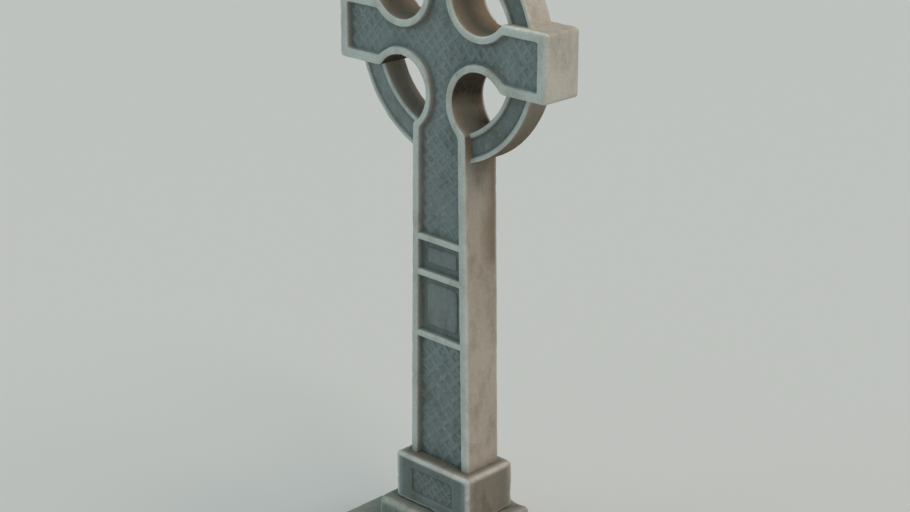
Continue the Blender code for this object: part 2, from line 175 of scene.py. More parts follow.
def stoneMaterial(name, look):
    material = bpy.data.materials.new(name)
    material.use_nodes = True
    tree = material.node_tree
    place = addNode(tree, "ShaderNodeTexCoord", {})["Object"]
    patterns = stonePatterns

    def cloud(scale, detail, rough, shift, upright):
        # soft noise between 0 and 1, moved so that no two patterns agree
        move = addNode(tree, "ShaderNodeMapping", {
            "Vector": place, "Location": (shift, shift * 0.7, -shift * 1.3), "Scale": (1.0, 1.0, upright)})
        return addNode(tree, "ShaderNodeTexNoise", {
            "Vector": move["Vector"], "Scale": scale, "Detail": detail, "Roughness": rough})["Fac"]

    def span(value, low, high, outLow=0.0, outHigh=1.0):
        return addNode(tree, "ShaderNodeMapRange", {
            "Value": value, "From Min": low, "From Max": high, "To Min": outLow, "To Max": outHigh})["Result"]

    def times(a, b):
        return addNode(tree, "ShaderNodeMath", {0: a, 1: b}, operation="MULTIPLY")["Value"]

    def mix(share, under, over, blend="MIX"):
        tones = [(*tone, 1.0) if isinstance(tone, tuple) else tone for tone in (under, over)]
        return addNode(tree, "ShaderNodeMix", {"Factor": share, 6: tones[0], 7: tones[1]},
                       data_type="RGBA", blend_type=blend)[2]

    def mark(attribute):
        return addNode(tree, "ShaderNodeAttribute", {}, attribute_name=attribute)["Fac"]

    broad, blotch, spots, grain = [cloud(*patterns[kind]) for kind in ("broad", "blotch", "spots", "grain")]
    cover = span(broad, *patterns["cover"])
    # sunk panels take the darker, cooler panel tones: painted recess shade and a painted cool cast, with dirt
    colour = mix(mark("panel"), mix(cover, look["body"], look["light"]),
                 mix(cover, look["panelBodyDirtAndShade"], look["panelLightDirtAndShade"]))
    colour = mix(span(blotch, *patterns["stain"]), colour, look["deep"], "MULTIPLY")        # darker stains
    colour = mix(times(span(spots, *patterns["lichen"]), look["lichenCover"]), colour, look["lichen"])
    # wear mixes real edge wear with painted highlight on upper faces, upper edges and left edges
    wearAndHighlight = times(mark("wearAndHighlight"), span(blotch, *patterns["wearAndHighlight"]))
    colour = mix(times(wearAndHighlight, look["wornShare"]), colour, look["worn"])
    # soil mixes real soil with the warm painted shade of sheltered faces
    colour = mix(times(mark("soilAndShade"), patterns["soilAndShadeShare"]), colour, look["soilAndShade"])
    # grime mixes dirt with painted shade in recesses, hollows, corners and under overhangs
    darkening = times(mark("grimeAndShade"), span(spots, *patterns["darkening"]))
    colour = mix(times(darkening, patterns["grimeAndShadeShare"]), colour, look["grimeAndShade"])
    fleck = span(grain, *patterns["fleck"], 1.0 - look["grain"], 1.0 + look["grain"])
    colour = addNode(tree, "ShaderNodeVectorMath", {0: colour, "Scale": fleck}, operation="SCALE")["Vector"]
    rough = span(spots, *patterns["rough"], look["roughLow"], look["roughHigh"])

    # pits and grain in the surface, coarse first
    height = addNode(tree, "ShaderNodeMath", {0: grain, 1: patterns["grainHeight"], 2: spots},
                     operation="MULTIPLY_ADD")["Value"]
    bump = addNode(tree, "ShaderNodeBump", {
        "Strength": look["bump"], "Distance": patterns["bumpDistance"], "Height": height})["Normal"]
    shader = tree.nodes["Principled BSDF"]
    shader.inputs["Specular IOR Level"].default_value = patterns["specular"]
    for socket, value in (("Base Color", colour), ("Roughness", rough), ("Normal", bump)):
        tree.links.new(value, shader.inputs[socket])
    return material


carvedStone = stoneMaterial("carved stone", stoneLooks["carved"])
plinthStone = stoneMaterial("plinth stone", stoneLooks["plinth"])
stepStone = stoneMaterial("step stone", stoneLooks["step"])
print("stone materials")


# Mesh work shared by the stones. Every point carries four marks: wear, pale and rubbed, and also painted
# highlight on upper and left edges; grime, dirt and painted shade in recesses, hollows and under overhangs;
# panel, which is 1 in the sunk work, painted darker as recess shade with dirt; and soil, the brown of sheltered
# faces, a warm painted shade with soil.

markNames = ("wearAndHighlight", "grimeAndShade", "panel", "soilAndShade")

meshWork = {
    # even fill of a flat face: spread of the points, height of a row, gap to the rim, points at a time
    "jitter": 0.2, "rowHeight": 0.87, "rimGap": 0.7, "batch": 2000,
    # scales of the slow swell, the dressing, and the coarse and fine losses
    "swellScale": 6.0, "dressScale": 38.0, "lossScale": 21.0, "fineLossScale": 65.0,
    "fineLoss": 0.6, "lossBias": 0.1, "wearGain": 2.4, "wearStart": 0.6,
    # chips: how far their planes tilt, the least wear where they break, how sharply they end
    "chipTilt": 0.35, "chipWear": 0.3, "chipEnd": 3.0,
}


def clamp(value):
    return min(1.0, max(0.0, value))


def layers(bm, *names):
    return [bm.verts.layers.float[name] for name in names]


def newStone():
    bm = bmesh.new()
    for name in markNames:
        bm.verts.layers.float.new(name)
    return bm


def addPoint(bm, place, *marks):
    # marks in the order of markNames, those left out are 0
    point = bm.verts.new(place)
    for name, value in zip(markNames, marks):
        point[bm.verts.layers.float[name]] = value
    return point


def lace(bm, rows):
    # walls between neighbouring rows of equally many points
    for near, far in zip(rows, rows[1:]):
        for k in range(len(near)):
            after = (k + 1) % len(near)
            bm.faces.new((near[k], near[after], far[after], far[k]))


def loftLoops(bm, loops, marks):
    levels = [[addPoint(bm, place, *mark) for place in loop] for loop, mark in zip(loops, marks)]
    lace(bm, levels)
    return levels[0], levels[-1]


def fillLoop(bm, loop, spacing, mark, seed):
    # an even mesh of small triangles inside a loop that stands square to Y
    dice = random.Random(seed)
    rim = np.array([(point.co.x, point.co.z) for point in loop])
    low = rim.min(axis=0)
    high = rim.max(axis=0)
    inner = []
    jitter, rowHeight, batch = meshWork["jitter"], meshWork["rowHeight"], meshWork["batch"]
    rows = int((high[1] - low[1]) / (spacing * rowHeight))
    columns = int((high[0] - low[0]) / spacing)
    for row in range(1, rows):
        for column in range(columns + 1):
            inner.append((low[0] + (column + 0.5 * (row % 2) + dice.uniform(-jitter, jitter)) * spacing,
                          low[1] + (row + dice.uniform(-jitter, jitter)) * spacing * rowHeight))
    inner = np.array(inner).reshape(-1, 2)
    kept = []
    following = np.roll(rim, -1, axis=0)
    for start in range(0, len(inner), batch):
        part = inner[start:start + batch]
        near = np.hypot(part[:, None, 0] - rim[None, :, 0],
                        part[:, None, 1] - rim[None, :, 1]).min(axis=1)
        spans = (rim[None, :, 1] > part[:, None, 1]) != (following[None, :, 1] > part[:, None, 1])
        rise = following[None, :, 1] - rim[None, :, 1]
        rise = np.where(rise == 0.0, 1.0, rise)
        crossing = rim[None, :, 0] + (
            (part[:, None, 1] - rim[None, :, 1]) / rise * (following - rim)[None, :, 0])
        inside = (spans & (part[:, None, 0] < crossing)).sum(axis=1) % 2 == 1
        kept += part[inside & (near > spacing * meshWork["rimGap"])].tolist()
    flat = [Vector(place) for place in rim.tolist() + kept]
    places, _, triangles, sources, _, _ = delaunay_2d_cdt(flat, [], [list(range(len(loop)))], 1, 1e-7)
    y = loop[0].co.y
    points = []
    for place, source in zip(places, sources):
        if source and source[0] < len(loop):
            points.append(loop[source[0]])
        else:
            points.append(addPoint(bm, (place.x, y, place.y), *mark))
    for triangle in triangles:
        bm.faces.new([points[k] for k in triangle])


def smoothLoop(points, passes):
    for _ in range(passes):
        count = len(points)
        points = [tuple((points[k - 1][n] + 2 * points[k][n] + points[(k + 1) % count][n]) / 4
                        for n in (0, 1)) for k in range(count)]
    return points


def line(start, end, count):
    return [(start[0] + (end[0] - start[0]) * k / count, start[1] + (end[1] - start[1]) * k / count)
            for k in range(count)]


def rectangleLoop(halfWidth, halfHeight, across, up, passes):
    corners = [(-halfWidth, -halfHeight), (halfWidth, -halfHeight), (halfWidth, halfHeight),
               (-halfWidth, halfHeight)]
    points = []
    for k in range(4):
        points += line(corners[k], corners[(k + 1) % 4], up if k % 2 else across)
    return smoothLoop(points, passes)


def weather(bm, swell, roughen, erode, seed):
    # uneven dressing everywhere, and more stone lost where it is worn
    wearAndHighlight = bm.verts.layers.float["wearAndHighlight"]
    away = Vector((seed * 3.7, seed * 1.3, seed * 2.1))        # so that no two stones agree
    bm.normal_update()
    pushes = []
    for point in bm.verts:
        place = point.co + away
        push = swell * noise.noise(place * meshWork["swellScale"])
        push += roughen * noise.fractal(place * meshWork["dressScale"], 0.9, 2.1, 3)
        coarse = noise.noise(place * meshWork["lossScale"])
        fine = noise.noise(place * meshWork["fineLossScale"])
        lost = max(0.0, coarse + meshWork["fineLoss"] * fine + meshWork["lossBias"])
        push -= erode * max(0.0, meshWork["wearGain"] * point[wearAndHighlight] - meshWork["wearStart"]) * lost
        pushes.append(point.normal * push)
    for point, push in zip(bm.verts, pushes):
        point.co += push


def chip(bm, places, seed):
    # small flat breaks: what stands past a plane near the place is cut back to it
    dice = random.Random(seed)
    wearAndHighlight = bm.verts.layers.float["wearAndHighlight"]
    most = meshWork["chipTilt"]
    breaks = []
    for middle, outward, reach, depth in places:
        tilt = Vector([dice.uniform(-most, most) for _ in range(3)])
        breaks.append((Vector(middle), (Vector(outward).normalized() + tilt).normalized(), reach, depth))
    for point in bm.verts:
        if point[wearAndHighlight] < meshWork["chipWear"]:
            continue
        for middle, facing, reach, depth in breaks:
            offset = point.co - middle
            if abs(offset.x) > reach or abs(offset.y) > reach or abs(offset.z) > reach:
                continue
            distance = offset.length
            past = offset.dot(facing) + depth
            if past > 0.0 and distance < reach:
                point.co -= facing * past * min(1.0, meshWork["chipEnd"] * (1.0 - distance / reach))


def finishStone(bm, name, material, node=None):
    bmesh.ops.recalc_face_normals(bm, faces=bm.faces[:])
    mesh = bpy.data.meshes.new(name)
    bm.to_mesh(mesh)
    bm.free()
    mesh.materials.append(material)
    for face in mesh.polygons:
        face.use_smooth = True
    thing = addObject(name, mesh)
    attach(thing, "root")
    if node:
        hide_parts(node)
    triangles = sum(len(face.vertices) - 2 for face in mesh.polygons)
    print(name, "made:", triangles, "triangles")
    return thing


# Cross

cross = {
    "armSpan": 0.804, "armHeight": 0.194, "depth": 0.135, "footWidth": 0.240, "headWidth": 0.203,
    "hollowRadius": 0.100, "hollowOffset": 0.152, "sink": 0.020, "belowFoot": 0.06,
    "border": 0.026, "hollowBorder": 0.021, "endBorder": 0.032, "wallFoot": 0.003,
    "shaftPoints": 200, "hollowPoints": 64, "edgePoints": 27, "armEndPoints": 32, "topPoints": 17,
    "cornerPasses": 3, "sideStep": 0.0065, "frontSpacing": 0.0046, "backSpacing": 0.0075,
    "swell": 0.0007, "roughen": 0.0004, "erode": 0.0015,
    "chips": 34, "chipReach": (0.008, 0.022), "chipDepth": (0.0005, 0.0030), "chipInset": 0.003,
    # the border and panel from the floor outwards: inset, depth behind the front, wear and highlight, grime and
    # painted shade (darkest on the floor beside the wall), panel
    "wall": [
        (0.0400, 0.0200, 0.00, 0.10, 1.0), (0.0350, 0.0200, 0.00, 0.16, 1.0), (0.0313, 0.0199, 0.00, 0.24, 1.0),
        (0.0297, 0.0190, 0.00, 0.32, 1.0), (0.0290, 0.0165, 0.00, 0.20, 0.9), (0.0284, 0.0120, 0.00, 0.13, 0.8),
        (0.0277, 0.0070, 0.05, 0.10, 0.6), (0.0270, 0.0033, 0.15, 0.05, 0.4), (0.0256, 0.0012, 0.41, 0.01, 0.0),
        (0.0238, 0.0001, 0.54, 0.00, 0.0), (0.0180, 0.0000, 0.48, 0.00, 0.0),
    ],
    "frontEdge": [
        (0.0125, 0.0002, 0.51, 0.00, 0.0), (0.0088, 0.0007, 0.54, 0.00, 0.0), (0.0056, 0.0016, 0.57, 0.00, 0.0),
        (0.0031, 0.0029, 0.59, 0.00, 0.0), (0.0013, 0.0046, 0.57, 0.00, 0.0), (0.0003, 0.0068, 0.37, 0.00, 0.0),
        (0.0000, 0.0110, 0.08, 0.00, 0.0),
    ],
    "backEdge": [
        (0.0100, 0.0000, 0.48, 0.00, 0.0), (0.0055, 0.0001, 0.54, 0.00, 0.0), (0.0032, 0.0005, 0.57, 0.00, 0.0),
        (0.0015, 0.0014, 0.57, 0.00, 0.0), (0.0004, 0.0029, 0.45, 0.00, 0.0), (0.0000, 0.0055, 0.12, 0.00, 0.0),
    ],
    # the lower (-1) and the upper (1) hollows: least grime, grime at half height, growth upwards; painted shade
    # under the arms, with dirt
    "hollowGrimeAndShade": {-1: (0.0, 0.47, 2.0), 1: (0.30, 0.10, 3.6)}, "hollowSoilAndShade": 0.80,
    # what the lower ones get towards the rear: least grime, grime at half height, and the darkening by the
    # ring, painted shade in the corner with dirt, from that share of the radius below half height on
    "rear": {"start": -0.01, "over": 0.05, "least": 0.46, "half": 0.36, "ringDarkStart": 0.36, "ringDarkOver": 0.36},
    # the sides below the ring darker and browner: painted shadow of the ring with damp, and a longer darkening
    # on their rear halves, painted shade with stain
    "dampAndShadow": {"top": 0.86, "front": 0.13, "behind": 0.30, "start": -0.06, "over": 0.11,
             "soilAndShade": 0.85, "grimeAndShade": 0.50},
    "stain": {"down": 0.44, "end": 0.05, "start": -0.01, "over": 0.055, "soilAndShade": 0.50, "grimeAndShade": 0.44},
    "ragged": {"scale": 14.0, "down": 0.04, "behind": 0.014},
    # pale tops, arm ends and upper edges, and from what slope on: painted highlight on upward faces and palest
    # on the upper edges, with rain bleaching
    "bleachAndHighlight": {"tops": 0.22, "ends": 0.38, "edges": 0.95, "edgeReach": 0.016, "slope": 0.10, "over": 0.55},
    # darker at the foot: painted shade where it meets the plinth, with dirt washed down: how high, grime, and
    # wear lost
    "footDirtAndShade": (0.045, 0.4, 0.5),
}

frontY = -cross["depth"] / 2
floorY = frontY + cross["sink"]
armLowZ = middleZ - cross["armHeight"] / 2
taper = (cross["footWidth"] - cross["headWidth"]) / 2 / (armLowZ - footZ)
hollowShare = cross["hollowBorder"] / cross["border"]
endShare = cross["endBorder"] / cross["border"]
panelWall = cross["border"] + cross["wallFoot"]        # from the outline to the sunk panel's floor


def shaftHalf(z, inset):
    return cross["headWidth"] / 2 + taper * (armLowZ - z) - inset * math.hypot(1.0, taper)


def arcLine(middle, radius, start, end, count):
    points = []
    for k in range(count):
        angle = start + (end - start) * k / count
        points.append((middle[0] + radius * math.cos(angle), middle[1] + radius * math.sin(angle)))
    return points


def crossLoop(inset):
    # round the cross from below its foot, moved in by an inset: less at the hollows, more at the ends
    offset = cross["hollowOffset"]
    radius = cross["hollowRadius"] + inset * hollowShare
    armHalf = cross["armHeight"] / 2 - inset
    armEnd = cross["armSpan"] / 2 - inset * endShare
    topHalf = cross["headWidth"] / 2 - inset
    top = middleZ + topArmRise - inset * endShare
    startZ = footZ - cross["belowFoot"] + inset
    armAngle = math.asin((offset - armHalf) / radius)
    topAngle = math.acos((topHalf - offset) / radius) - 2 * math.pi
    lowMiddle = middleZ - offset
    z = lowMiddle - radius
    for _ in range(30):
        reach = shaftHalf(z, inset) - offset
        z = lowMiddle - math.sqrt(max(radius ** 2 - reach ** 2, 0.0))
    lowAngle = math.atan2(z - lowMiddle, reach) + 2 * math.pi
    armStart = offset + math.sqrt(radius ** 2 - (offset - armHalf) ** 2)
    topStart = middleZ + offset + math.sqrt(radius ** 2 - (offset - topHalf) ** 2)
    right = line((shaftHalf(startZ, inset), startZ), (shaftHalf(z, inset), z), cross["shaftPoints"])
    right += arcLine((offset, lowMiddle), radius, lowAngle, armAngle, cross["hollowPoints"])
    right += line((armStart, middleZ - armHalf), (armEnd, middleZ - armHalf), cross["edgePoints"])
    right += line((armEnd, middleZ - armHalf), (armEnd, middleZ + armHalf), cross["armEndPoints"])
    right += line((armEnd, middleZ + armHalf), (armStart, middleZ + armHalf), cross["edgePoints"])
    right += arcLine((offset, middleZ + offset), radius, -armAngle, topAngle, cross["hollowPoints"])
    right += line((topHalf, topStart), (topHalf, top), cross["edgePoints"])
    right += line((topHalf, top), (topHalf / cross["topPoints"] / 2, top), cross["topPoints"])
    return smoothLoop(right + [(-x, z) for x, z in reversed(right)], cross["cornerPasses"])


def bodyLevels():
    # front border, plain side, and the border behind, which is less worn
    front = [(inset, frontY + back, marks) for inset, back, *marks in cross["wall"] + cross["frontEdge"]]
    behind = [(inset, -frontY - back, marks) for inset, back, *marks in cross["wall"] + cross["backEdge"]]
    start = front[-1][1]
    end = behind[-1][1]
    count = round((end - start) / cross["sideStep"])
    side = [(0.0, start + (end - start) * k / count, (0.0, 0.04, 0.0)) for k in range(1, count)]
    return front + side + behind[::-1]


def addCrossBody(bm):
    levels = bodyLevels()
    loops = []
    for inset, y, marks in levels:
        loops.append([(x, y, z) for x, z in crossLoop(inset)])
    first, last = loftLoops(bm, loops, [marks for inset, y, marks in levels])
    fillLoop(bm, first, cross["frontSpacing"], (0.0, 0.0, 1.0), 11)
    fillLoop(bm, last, cross["backSpacing"], (0.0, 0.0, 1.0), 12)


def sidePoints(bm):
    # the points between the two faces' rounded edges
    sideY = -frontY - cross["frontEdge"][-2][1]
    return [point for point in bm.verts if abs(point.co.y) <= sideY]


def darkenHollows(bm):
    # the insides of the hollows are painted darker and browner: painted shade with dirt, most of all under the
    # arms and towards the rear
    grimeAndShade, soilAndShade = layers(bm, "grimeAndShade", "soilAndShade")
    rear = cross["rear"]
    for point in sidePoints(bm):
        for across in (-1, 1):
            for up in (-1, 1):
                fromMiddle = Vector((point.co.x - across * cross["hollowOffset"],
                                     point.co.z - middleZ - up * cross["hollowOffset"]))
                if abs(fromMiddle.length - cross["hollowRadius"]) > 0.004:
                    continue
                rise = fromMiddle.y / fromMiddle.length
                least, atHalf, growth = cross["hollowGrimeAndShade"][up]
                behind = clamp((point.co.y - rear["start"]) / rear["over"]) if up < 0 else 0.0
                under = clamp(atHalf + rear["half"] * behind + growth * rise)
                byRing = behind * clamp((-rear["ringDarkStart"] - rise) / rear["ringDarkOver"])
                least += rear["least"] * behind
                point[grimeAndShade] = max(point[grimeAndShade], least + (1.0 - least) * max(under, byRing))
                point[soilAndShade] = cross["hollowSoilAndShade"]


def darkenSidesUnderRing(bm):
    # under the hollows the shaft's sides are painted darker: painted shadow of the ring and arms, with damp
    grimeAndShade, soilAndShade = layers(bm, "grimeAndShade", "soilAndShade")
    dampAndShadow, stain, ragged = cross["dampAndShadow"], cross["stain"], cross["ragged"]
    top = middleZ - cross["hollowOffset"] - dampAndShadow["top"] * cross["hollowRadius"]
    for point in sidePoints(bm):
        onSide = shaftHalf(point.co.z, 0.001) < abs(point.co.x) < cross["footWidth"] / 2 + 0.001
        if onSide and point.co.z < top:
            uneven = noise.noise(point.co * ragged["scale"])
            down = top - point.co.z - ragged["down"] * uneven
            behind = point.co.y + ragged["behind"] * uneven
            share = clamp((behind - dampAndShadow["start"]) / dampAndShadow["over"])
            reach = dampAndShadow["front"] + (dampAndShadow["behind"] - dampAndShadow["front"]) * share
            fade = max(0.0, 1.0 - down / reach)
            spread = clamp((behind - stain["start"]) / stain["over"])
            spread *= clamp((stain["down"] - down) / stain["end"])
            point[grimeAndShade] = max(point[grimeAndShade], dampAndShadow["grimeAndShade"] * fade, stain["grimeAndShade"] * spread)
            point[soilAndShade] = max(dampAndShadow["soilAndShade"] * fade, stain["soilAndShade"] * spread)


def darkenRecesses(bm):
    # the sunk bands round the two low fields are darker than the fields: painted recess shade with dirt
    grimeAndShade = bm.verts.layers.float["grimeAndShade"]
    low = footZ + min(bars["heights"])
    high = footZ + max(bars["heights"])
    for point in bm.verts:
        if low < point.co.z < high and abs(point.co.y - floorY) < 0.0012:
            point[grimeAndShade] = max(point[grimeAndShade], fields["recessGrimeAndShade"])


def paleTopsAndHighlights(bm):
    # the upper faces are painted pale and the upper edges palest, painted highlight where light falls from
    # above, with rain bleaching; the arm ends are pale too
    wearAndHighlight = bm.verts.layers.float["wearAndHighlight"]
    bleachAndHighlight = cross["bleachAndHighlight"]
    bm.normal_update()
    armEnd = cross["armSpan"] / 2 - 0.004
    for point in bm.verts:
        upward = clamp((point.normal.z - bleachAndHighlight["slope"]) / bleachAndHighlight["over"])
        pale = bleachAndHighlight["tops"] * upward
        if abs(point.co.x) > armEnd:
            pale = max(pale, bleachAndHighlight["ends"])
        fromFace = -frontY - abs(point.co.y)
        if fromFace < bleachAndHighlight["edgeReach"] and upward > 0.0 and point[wearAndHighlight] > 0.05:
            pale = max(pale, bleachAndHighlight["edges"] * upward)
        if fromFace > 0.002:
            point[wearAndHighlight] = max(point[wearAndHighlight], pale)


# Ring, a turned band about the middle of the arms with a shallow channel on both faces

ring = {
    "inner": 0.257, "outer": 0.342, "depth": 0.085, "steps": 230, "channel": 0.0070,
    # marks that change round the ring: pale on top, painted highlight with wear; darker and browner below and
    # on the inner face, painted shade with soil; the channel darker to the right and paler to the left
    "topWearAndHighlight": 0.8, "underGrimeAndShade": 0.80, "innerSoilAndShade": 0.6, "channelRightDark": 0.27, "channelLeftPale": 0.12,
    # from the raised edge's outside inwards: distance in from the rim, depth behind the face, marks, with grime
    # and painted shade where the channel floor meets the raised edge
    "edge": [
        (0.0000, 0.0170, 0.00, 0.05, 0.0), (0.0000, 0.0100, 0.12, 0.00, 0.0), (0.0006, 0.0058, 0.45, 0.00, 0.0),
        (0.0022, 0.0024, 0.57, 0.00, 0.0), (0.0048, 0.0005, 0.56, 0.00, 0.0), (0.0080, 0.0000, 0.41, 0.00, 0.2),
        (0.0115, 0.0004, 0.48, 0.00, 0.2), (0.0142, 0.0018, 0.28, 0.06, 0.4), (0.0160, 0.0044, 0.04, 0.25, 0.8),
        (0.0180, 0.0064, 0.00, 0.40, 1.0), (0.0215, 0.0070, 0.00, 0.22, 1.0), (0.0280, 0.0071, 0.00, 0.05, 1.0),
    ],
}


def addRing(bm):
    face = ring["depth"] / 2
    outerHalf = [(ring["outer"] - away, face - back, marks) for away, back, *marks in ring["edge"]]
    innerHalf = [(ring["inner"] + away, face - back, marks) for away, back, *marks in ring["edge"]]
    middle = (ring["inner"] + ring["outer"]) / 2
    half = outerHalf + [(middle, face - ring["channel"], (0.0, 0.05, 1.0))] + innerHalf[::-1]
    front = [(radius, -y, marks) for radius, y, marks in half]
    sideIn = [(ring["inner"], face * share, (0.0, 0.25, 0.0)) for share in (-0.3, 0.0, 0.3)]
    sideOut = [(ring["outer"], face * share, (0.0, 0.05, 0.0)) for share in (0.3, 0.0, -0.3)]
    section = front + sideIn + half[::-1] + sideOut
    rows = []
    for step in range(ring["steps"]):
        angle = 2 * math.pi * step / ring["steps"]
        row = []
        for radius, y, (wearAndHighlight, grimeAndShade, panel) in section:
            soilAndShade = 0.0
            # painted highlight on the top of the ring, painted shade with soil below and inside
            if radius > ring["outer"] - 0.001:
                wearAndHighlight = max(wearAndHighlight, ring["topWearAndHighlight"] * max(0.0, math.sin(angle)))
                grimeAndShade += ring["underGrimeAndShade"] * max(0.0, -math.sin(angle))
                soilAndShade = max(0.0, -math.sin(angle))
            elif radius < ring["inner"] + 0.001:
                soilAndShade = ring["innerSoilAndShade"]
            elif panel == 1.0:
                grimeAndShade += ring["channelRightDark"] * max(0.0, math.cos(angle))
                wearAndHighlight += ring["channelLeftPale"] * max(0.0, -math.cos(angle))
            place = (radius * math.cos(angle), y, middleZ + radius * math.sin(angle))
            row.append(addPoint(bm, place, wearAndHighlight, grimeAndShade, panel, soilAndShade))
        rows.append(row)
    lace(bm, rows + rows[:1])


# Bars across the shaft's panels, and the low fields between them

bars = {
    "heights": (0.706, 0.595, 0.400), "width": 0.018, "drop": 0.0006, "inBorder": 0.55, "step": 0.005,
    # half the section: distance from the bar's middle line, depth behind its top, marks, with painted shade at
    # the bar's foot
    "section": [
        (0.0123, 0.0224, 0.00, 0.50, 1.0), (0.0117, 0.0185, 0.00, 0.45, 0.9), (0.0109, 0.0130, 0.00, 0.35, 0.7),
        (0.0101, 0.0070, 0.04, 0.25, 0.4), (0.0093, 0.0032, 0.28, 0.08, 0.0), (0.0080, 0.0010, 0.56, 0.00, 0.0),
        (0.0055, 0.0001, 0.54, 0.00, 0.0), (0.0020, -0.0001, 0.51, 0.00, 0.0),
    ],
}

fields = {
    "margin": 0.021, "passes": 9, "spacing": 0.004, "acrossPoints": 26, "upPoints": 20, "recessGrimeAndShade": 0.30,
    # inset, rise above the floor, marks, with painted shade round the field's edge
    "profile": [
        (0.0000, -0.0030, 0.00, 0.40, 1.00), (0.0000, 0.0006, 0.00, 0.40, 1.00),
        (0.0018, 0.0022, 0.02, 0.25, 0.95), (0.0050, 0.0034, 0.04, 0.18, 0.92),
        (0.0100, 0.0038, 0.04, 0.18, 0.92),
    ],
}


def addBar(bm, height, side):
    z = footZ + height
    reach = shaftHalf(z, cross["border"] * bars["inBorder"])
    top = -frontY - bars["drop"]
    half = bars["section"]
    section = [(-away, top - back, marks) for away, back, *marks in half]
    section += [(away, top - back, marks) for away, back, *marks in half[::-1]]
    count = round(2 * reach / bars["step"])
    rows = []
    for k in range(count + 1):
        x = -reach + 2 * reach * k / count
        rows.append([addPoint(bm, (x, side * y, z + up), *marks) for up, y, marks in section])
    lace(bm, rows)
    bm.faces.new(rows[0])
    bm.faces.new(rows[-1])


def addField(bm, low, high, seed):
    bottom = footZ + low + bars["width"] / 2 + fields["margin"]
    top = footZ + high - bars["width"] / 2 - fields["margin"]
    panelInset = panelWall + fields["margin"]
    middle = (bottom + top) / 2
    loops = []
    for inset, rise, *marks in fields["profile"]:
        points = []
        for z, far, way in ((bottom + inset, top - inset, 1), (top - inset, bottom + inset, -1)):
            half = way * (shaftHalf(z, panelInset) - inset)
            farHalf = way * (shaftHalf(far, panelInset) - inset)
            points += line((-half, z), (half, z), fields["acrossPoints"])
            points += line((half, z), (farHalf, far), fields["upPoints"])
        points = smoothLoop(points, fields["passes"])
        loops.append([(x, floorY - rise, z) for x, z in points])
    first, last = loftLoops(bm, loops, [level[2:] for level in fields["profile"]])
    fillLoop(bm, last, fields["spacing"], fields["profile"][-1][2:], seed)
    bm.faces.new(first)


def crossChips(seed):
    # places along the outer edges of both faces, most of them small
    dice = random.Random(seed)
    loop = crossLoop(0.004)
    places = []
    for _ in range(cross["chips"]):
        x, z = dice.choice(loop)
        if z < footZ + 0.02:
            continue
        k = loop.index((x, z))
        before = loop[k - 3]
        after = loop[(k + 3) % len(loop)]
        outX, outZ = after[1] - before[1], before[0] - after[0]
        size = math.hypot(outX, outZ)
        side = dice.choice((-1, -1, 1))
        reach = dice.uniform(*cross["chipReach"])
        places.append(((x, side * (-frontY - cross["chipInset"]), z), (outX / size, side * 0.9, outZ / size),
                       reach, -dice.uniform(*cross["chipDepth"])))
    return places


def buildCross():
    bm = newStone()
    addCrossBody(bm)
    darkenHollows(bm)
    darkenSidesUnderRing(bm)
    darkenRecesses(bm)
    addRing(bm)
    for height in bars["heights"]:
        for side in (-1, 1):
            addBar(bm, height, side)
    addField(bm, bars["heights"][1], bars["heights"][0], 21)
    addField(bm, bars["heights"][2], bars["heights"][1], 22)
    bmesh.ops.recalc_face_normals(bm, faces=bm.faces[:])
    paleTopsAndHighlights(bm)
    weather(bm, cross["swell"], cross["roughen"], cross["erode"], 5)
    chip(bm, crossChips(31), 32)
    everything = bm.verts[:] + bm.edges[:] + bm.faces[:]
    bmesh.ops.bisect_plane(bm, geom=everything, plane_co=(0, 0, footZ), plane_no=(0, 0, -1), clear_outer=True)
    bmesh.ops.holes_fill(bm, edges=[edge for edge in bm.edges if edge.is_boundary], sides=0)
    wearAndHighlight, grimeAndShade = layers(bm, "wearAndHighlight", "grimeAndShade")
    # painted shade where the cross meets the plinth, with dirt
    reach, footGrimeAndShade, wearLost = cross["footDirtAndShade"]
    for point in bm.verts:
        low = max(0.0, 1.0 - (point.co.z - footZ) / reach)
        point[grimeAndShade] = min(1.0, point[grimeAndShade] + footGrimeAndShade * low * low)
        point[wearAndHighlight] *= 1.0 - wearLost * low
    return finishStone(bm, "carved_cross", carvedStone, "cross")


buildCross()


# Plinth and steps

plinth = {
    "acrossPoints": 58, "upPoints": 30, "cornerPasses": 4, "sideStep": 0.0065, "backSpacing": 0.009,
    "panel": (0.088, 0.043), "panelSink": 0.006, "panelSpacing": 0.004, "faceSteps": 6,
    "swell": 0.0009, "roughen": 0.0005, "erode": 0.0020, "chips": 10,
    # the long edges' reach and wear, the darkening beside the shaft, painted shade with dirt, and the pale top,
    # painted highlight with rain bleaching
    "longEdges": (0.011, 0.75), "treadDirtAndShade": 0.026, "bleachAndHighlight": 0.72,
    # the panel from its floor outwards: inset from the panel's edge, depth, marks, with painted shade on the
    # floor beside the wall
    "panelProfile": [
        (0.0200, 0.0060, 0.00, 0.05, 1.0), (0.0110, 0.0060, 0.00, 0.10, 1.0), (0.0065, 0.0058, 0.00, 0.34, 1.0),
        (0.0045, 0.0045, 0.00, 0.30, 0.8), (0.0025, 0.0020, 0.04, 0.14, 1.0), (0.0008, 0.0004, 0.10, 0.03, 1.0),
        (-0.0015, 0.0000, 0.06, 0.00, 1.0),
    ],
    # the outer edge: inset, depth, marks
    "edge": [
        (0.0190, 0.0000, 0.00, 0.00, 1.0), (0.0135, 0.0000, 0.10, 0.00, 0.8), (0.0092, 0.0003, 0.85, 0.00, 0.0),
        (0.0058, 0.0013, 1.00, 0.00, 0.0), (0.0032, 0.0030, 1.00, 0.00, 0.0), (0.0014, 0.0053, 1.00, 0.00, 0.0),
        (0.0003, 0.0084, 0.80, 0.00, 0.0), (0.0000, 0.0120, 0.15, 0.00, 0.0),
    ],
}

